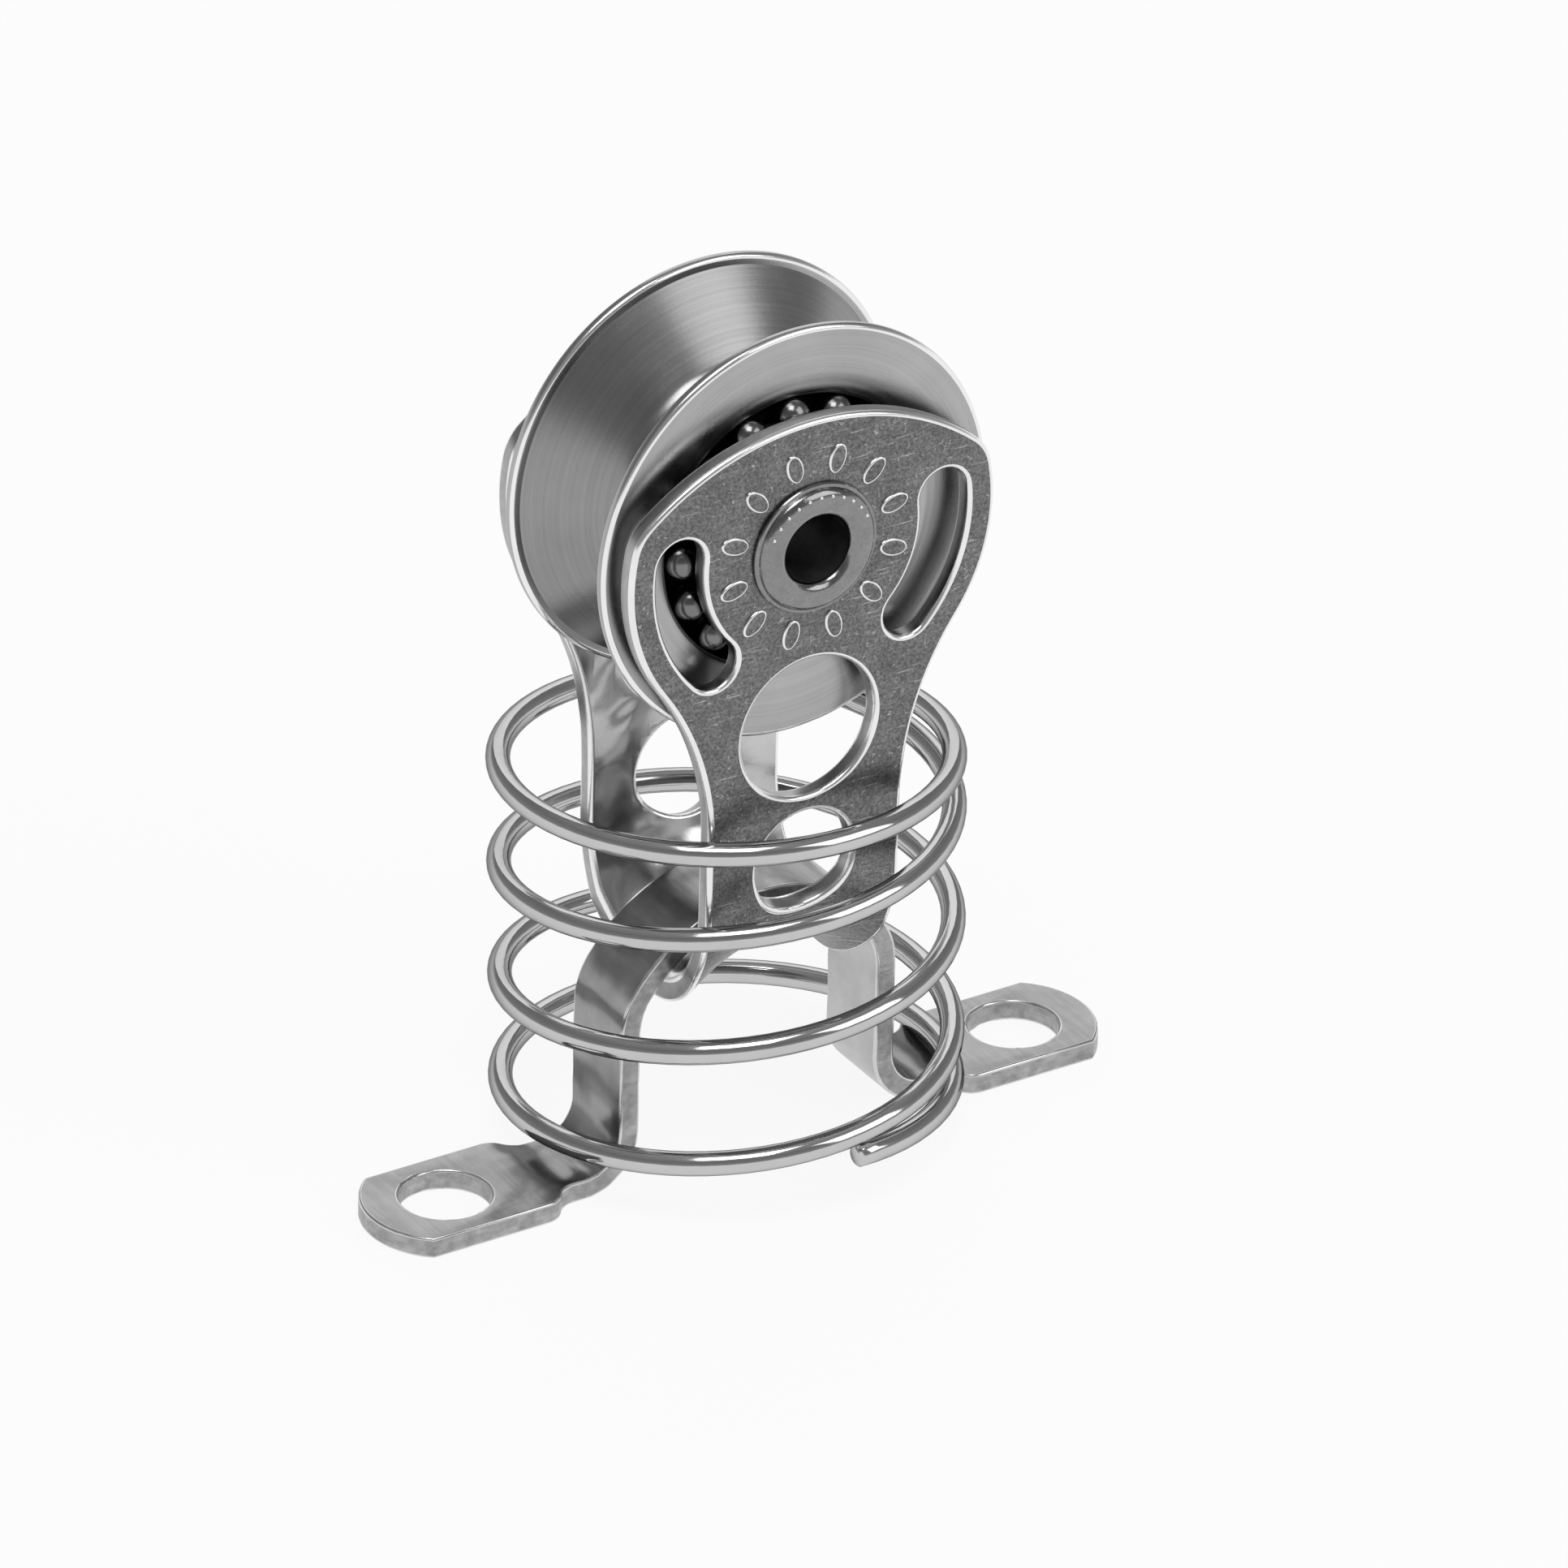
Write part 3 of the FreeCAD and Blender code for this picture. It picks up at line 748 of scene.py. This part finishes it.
class Nodes:
    """Short hand for building a material's or the world's node tree."""

    def __init__(self, tree):
        self.tree = tree
        tree.nodes.clear()

    def add(self, kind, inputs, **settings):
        node = self.tree.nodes.new(kind)
        for key, value in settings.items():
            setattr(node, key, value)
        for key, value in inputs.items():
            if isinstance(value, bpy.types.NodeSocket):
                self.tree.links.new(value, node.inputs[key])
            else:
                node.inputs[key].default_value = value
        return node

    def math(self, operation, first, second):
        return self.add("ShaderNodeMath", {0: first, 1: second}, operation=operation).outputs[0]

    def ramp(self, factor, stops):
        node = self.add("ShaderNodeValToRGB", {"Fac": factor})
        elements = node.color_ramp.elements
        while len(elements) < len(stops):
            elements.new(0.5)
        for element, (position, grey) in zip(elements, stops):
            element.position = position
            element.color = (grey, grey, grey, 1)
        return node.outputs["Color"]

    def multiply(self, first, second):
        return self.add("ShaderNodeMix", {0: 1.0, 6: first, 7: second}, data_type="RGBA",
                        blend_type="MULTIPLY").outputs[2]

    def blend(self, factor, first, second):
        return self.add("ShaderNodeMix", {0: factor, 6: first, 7: second},
                        data_type="RGBA").outputs[2]

    def noise(self, vector, scale, detail, rough):
        return self.add("ShaderNodeTexNoise", {"Vector": vector, "Scale": scale, "Detail": detail,
                                               "Roughness": rough}).outputs["Fac"]

    def stretch(self, vector, **inputs):
        return self.add("ShaderNodeMapping", {"Vector": vector, **inputs}).outputs[0]

    def object_place(self):
        return self.add("ShaderNodeTexCoord", {}).outputs["Object"]

    def background_rays(self):
        """1 for the rays that see the background: from the camera, off metal, through glass."""
        path = self.add("ShaderNodeLightPath", {}).outputs
        return self.math("MAXIMUM", path["Is Camera Ray"],
                         self.math("MAXIMUM", path["Is Glossy Ray"], path["Is Transmission Ray"]))


def grey_colour(grey):
    return grey, grey, grey, 1


def turned_place(n, place):
    """Fine rings about the axle: the distance from it, and the place along it."""
    lines_per_metre = 4200.0
    parts = n.add("ShaderNodeSeparateXYZ", {0: place}).outputs
    rise = n.math("SUBTRACT", parts[2], AXLE_Z * MM)
    flat = n.add("ShaderNodeCombineXYZ", {0: parts[0], 2: rise}).outputs[0]
    reach = n.add("ShaderNodeVectorMath", {0: flat}, operation="LENGTH").outputs["Value"]
    rings = n.math("MULTIPLY", reach, lines_per_metre)
    along = n.math("MULTIPLY", parts[1], lines_per_metre)
    return n.add("ShaderNodeCombineXYZ", {0: rings, 1: along}).outputs[0]


def add_glints(n, place, tone, grit, amount):
    """Darkens the tone in the grit's pits and puts small bright points on it."""
    tone = n.multiply(tone, n.ramp(grit, [(0.36, 1 - amount), (0.64, 1.0)]))
    glint = n.ramp(n.noise(place, 2900.0, 3.0, 0.75), [(0.63, 0.0), (0.69, 1.0)])
    return n.blend(n.math("MULTIPLY", glint, amount), tone, grey_colour(0.7))


def add_scratches(n, place, tone, amount):
    """Hair scratches in four directions."""
    for turn, shift in ((0.35, 3.0), (-0.9, 9.0), (1.2, 17.0), (-0.3, 29.0)):
        tilted = n.stretch(place, Rotation=(0.0, turn, 0.0), Location=(shift, shift, shift),
                           Scale=(420.0, 420.0, 7000.0))
        hair = n.ramp(n.noise(tilted, 1.0, 2.0, 0.5), [(0.675, 0.0), (0.73, 1.0)])
        tone = n.blend(n.math("MULTIPLY", hair, amount), tone, grey_colour(0.75))
    return tone


def steel(name, grey, rough, mottle=0.1, mottle_scale=300.0, grain=None, grain_bump=0.1,
          speck=0.0, scratches=0.0, fine_bump=0.05, edge=1.0, wave=0.0, wave_scale=230.0):
    """Stainless steel with a mottled tone and roughness, a grain and fine marks in relief.

    grain is its lines per metre along x, y and z, or "turned" for rings about the axle.
    wave is the height in metres of the slow waves that a press or a bend leaves.
    edge is the tint of the reflection where the surface turns away."""
    spread = 0.08
    grit_scale = 5200.0
    relief = 0.00004
    material = bpy.data.materials.new(name)
    material.use_nodes = True
    n = Nodes(material.node_tree)
    place = n.object_place()
    mottled = n.noise(place, mottle_scale, 4.0, 0.6)
    tone = n.ramp(mottled, [(0.3, grey * (1 - mottle)), (0.7, grey * (1 + mottle))])
    bumps = []
    if wave:
        bumps.append((n.noise(place, wave_scale, 1.5, 0.45), 1.0, wave))
    if grain:
        stretched = turned_place(n, place) if grain == "turned" else n.stretch(place, Scale=grain)
        lines = n.noise(stretched, 1.0, 4.0, 0.65)
        bumps.append((lines, grain_bump, relief))
        tone = n.multiply(tone, n.ramp(lines, [(0.35, 0.84), (0.65, 1.0)]))
    if speck:
        grit = n.noise(place, grit_scale, 2.0, 0.7)
        bumps.append((grit, 0.12, relief))
        tone = add_glints(n, place, tone, grit, speck)
    if scratches:
        tone = add_scratches(n, place, tone, scratches)
    bumps.append((n.noise(place, grit_scale, 2.0, 0.5), fine_bump, relief))
    roughness = n.math("ADD", n.math("MULTIPLY", mottled, spread), rough - spread / 2)
    shader = n.add("ShaderNodeBsdfPrincipled", {"Base Color": tone, "Roughness": roughness,
                                                "Metallic": 1.0, "Specular Tint": grey_colour(edge)})
    normal = {}
    for height, strength, distance in bumps:
        bump = n.add("ShaderNodeBump", {"Height": height, "Strength": strength,
                                        "Distance": distance, **normal})
        normal = {"Normal": bump.outputs[0]}
    n.tree.links.new(normal["Normal"], shader.inputs["Normal"])
    n.add("ShaderNodeOutputMaterial", {"Surface": shader.outputs[0]})
    return material


sheet_face = steel("housing_face", grey=0.25, rough=0.36, mottle=0.16, mottle_scale=600.0,
                   grain=(300.0, 300.0, 2600.0), grain_bump=0.05, speck=0.5, scratches=0.4,
                   wave=0.00005, wave_scale=130.0)
# The sheet's rounded rims are a near-white copy of its steel: a painted highlight along every edge.
sheet_rim_highlight = steel("housing_rim_painted_highlight", grey=0.85, rough=0.2, mottle=0.04, mottle_scale=400.0)
sheet_wall = steel("housing_wall", grey=0.42, rough=0.3, mottle=0.1, mottle_scale=1500.0,
                   grain=(700.0, 700.0, 700.0), grain_bump=0.3)
# The sheet's inside is a lighter copy of its steel, a painted highlight; its low roughness and slow
# waves are real.
sheet_inside_painted_light = steel("housing_inside_painted_light", grey=0.5, rough=0.15, mottle=0.12, mottle_scale=300.0,
                     wave=0.0006, wave_scale=170.0)
bow_face = steel("bow_face", grey=0.33, rough=0.24, mottle=0.14, mottle_scale=260.0,
                 grain=(2600.0, 260.0, 260.0), grain_bump=0.08, wave=0.0004, wave_scale=200.0)
# The bow's inside is a lighter copy of its steel: painted light on the inner faces of the legs.
bow_inside_painted_light = steel("bow_inside_painted_light", grey=0.54, rough=0.3, mottle=0.1, mottle_scale=260.0,
                   grain=(2600.0, 260.0, 260.0), grain_bump=0.08, wave=0.0002, wave_scale=200.0)
bow_edge = steel("bow_edge", grey=0.4, rough=0.36, mottle=0.28, mottle_scale=1300.0,
                 grain=(500.0, 500.0, 3200.0), grain_bump=0.9)
# The bow's rounded rims are a lighter copy of its steel: a painted highlight along its edges.
bow_rim_highlight = steel("bow_rim_highlight", grey=0.65, rough=0.25, mottle=0.1, mottle_scale=900.0)
wheel_steel = steel("turned_wheel", grey=0.46, rough=0.27, mottle=0.07, mottle_scale=200.0,
                    grain="turned", grain_bump=0.12)
# The groove is a darker copy of the wheel's turned steel: painted shade between the rims.
groove_shade_steel = steel("turned_groove_painted_shade", grey=0.31, rough=0.27, mottle=0.07, mottle_scale=200.0,
                     grain="turned", grain_bump=0.14)
# The wheel's rims and the rivet's pips get a near-white steel: a painted highlight; only the low
# roughness is real polish.
rim_highlight_steel = steel("polished_rim_painted_highlight", grey=0.85, rough=0.14, mottle=0.03, mottle_scale=200.0)
rivet_steel = steel("rivet", grey=0.27, rough=0.15, mottle=0.1, mottle_scale=900.0, speck=0.12)
# Near-black steel for the wheel's ball track and the inner race: painted shade in the recess behind
# the balls.
recess_shade_steel = steel("painted_shade_recess", grey=0.07, rough=0.45, mottle=0.3, mottle_scale=900.0)
# Dark steel for the rivet's bore: painted shade inside the hole.
bore_shade_steel = steel("painted_shade_bore", grey=0.2, rough=0.45, mottle=0.2, mottle_scale=900.0)
# The balls are a dark steel: painted shade, as they sit deep in the recess.
shaded_ball_steel = steel("ball", grey=0.2, rough=0.2, mottle=0.04, edge=0.5)
wire_steel = steel("drawn_wire", grey=0.55, rough=0.1, mottle=0.03, mottle_scale=350.0,
                   fine_bump=0.02, edge=0.3)


# Floor, world, camera and lamps


def build_floor():
    """A pale floor that glows white for the rays that see the background, under its shadow."""
    mesh = bpy.data.meshes.new("floor")
    corners = [(-1, -1), (1, -1), (1, 1), (-1, 1)]
    mesh.from_pydata([(x * FLOOR_HALF, y * FLOOR_HALF, 0) for x, y in corners], [], [(0, 1, 2, 3)])
    floor = bpy.data.objects.new("floor", mesh)
    bpy.context.scene.collection.objects.link(floor)
    material = bpy.data.materials.new("floor_white")
    material.use_nodes = True
    n = Nodes(material.node_tree)
    matte = n.add("ShaderNodeBsdfDiffuse", {"Color": grey_colour(FLOOR_GREY)})
    glow = n.add("ShaderNodeEmission", {"Color": grey_colour(1), "Strength": 1.0})
    share = n.math("MULTIPLY", n.background_rays(), FLOOR_GLOW)
    mixed = n.add("ShaderNodeMixShader", {0: share, 1: matte.outputs[0], 2: glow.outputs[0]})
    n.add("ShaderNodeOutputMaterial", {"Surface": mixed.outputs[0]})
    mesh.materials.append(material)


def build_world():
    """A grey room. The rays that see the background get white up to the horizon and a sky."""
    world = bpy.data.worlds.new("studio")
    bpy.context.scene.world = world
    world.use_nodes = True
    n = Nodes(world.node_tree)
    direction = n.add("ShaderNodeTexCoord", {}).outputs["Generated"]
    parts = n.add("ShaderNodeSeparateXYZ", {0: direction})
    height = n.math("ADD", n.math("MULTIPLY", parts.outputs[2], 0.5), 0.5)
    colour = n.blend(n.background_rays(), grey_colour(ROOM_GREY), n.ramp(height, SKY))
    back = n.add("ShaderNodeBackground", {"Color": colour, "Strength": 1.0})
    n.add("ShaderNodeOutputWorld", {"Surface": back.outputs[0]})


def build_camera():
    """The photograph's camera, far enough away that its lines stay nearly parallel."""
    turn = (Matrix.Rotation(math.radians(CAMERA_ROLL), 3, "Z")
            @ Matrix.Rotation(math.radians(CAMERA_TILT), 3, "X")
            @ Matrix.Rotation(math.radians(CAMERA_PAN), 3, "Z")).transposed()
    camera = bpy.data.cameras.new("photo_camera")
    camera.sensor_width = SENSOR
    camera.lens = PIXELS_PER_MM * CAMERA_DISTANCE * SENSOR / PHOTO_PIXELS
    camera.clip_start = 0.01
    camera.clip_end = 10
    obj = bpy.data.objects.new("photo_camera", camera)
    place = (Vector(CAMERA_AIM) + turn @ Vector((0, 0, CAMERA_DISTANCE))) * MM
    obj.matrix_world = Matrix.Translation(place) @ turn.to_4x4()
    bpy.context.scene.collection.objects.link(obj)
    bpy.context.scene.camera = obj


def area_light(name, place, size, power):
    """A square lamp that points at the object."""
    light = bpy.data.lights.new(name, "AREA")
    light.shape = "SQUARE"
    light.size = size
    light.energy = power
    obj = bpy.data.objects.new(name, light)
    obj.location = place
    obj.rotation_euler = (LAMP_TARGET - Vector(place)).to_track_quat("-Z", "Y").to_euler()
    bpy.context.scene.collection.objects.link(obj)


build_housing([sheet_face, sheet_rim_highlight, sheet_wall, sheet_inside_painted_light])
build_bow([bow_face, bow_rim_highlight, bow_edge, bow_inside_painted_light])
lathe("turned_sheave", wheel_half(), "wheel",
      [wheel_steel, recess_shade_steel, rim_highlight_steel, groove_shade_steel], "sheave", segments=192,
      part_of=wheel_part)
lathe("hollow_rivet", rivet_half(), "block", [rivet_steel, bore_shade_steel],
      "axle_rivet", sharp=24, part_of=rivet_part)
# The inner race is drawn in the recess's near-black painted shade.
lathe("ball_race", race_half(), "block", [recess_shade_steel], "inner_race")
build_balls(shaded_ball_steel)
build_spring(wire_steel)
build_marks([sheet_face, sheet_rim_highlight])
# The pips are drawn in the rims' near-white steel, as painted highlights.
build_rivet_pips(rim_highlight_steel)

build_floor()
build_world()
build_camera()
area_light("key", place=(-0.2, -0.25, 0.9), size=0.45, power=2.8)
area_light("front", place=(0.45, -0.62, 0.6), size=0.6, power=2.2)
area_light("rear", place=(0.42, 0.68, 0.46), size=0.6, power=1.2)
bpy.context.scene.view_settings.view_transform = "Standard"
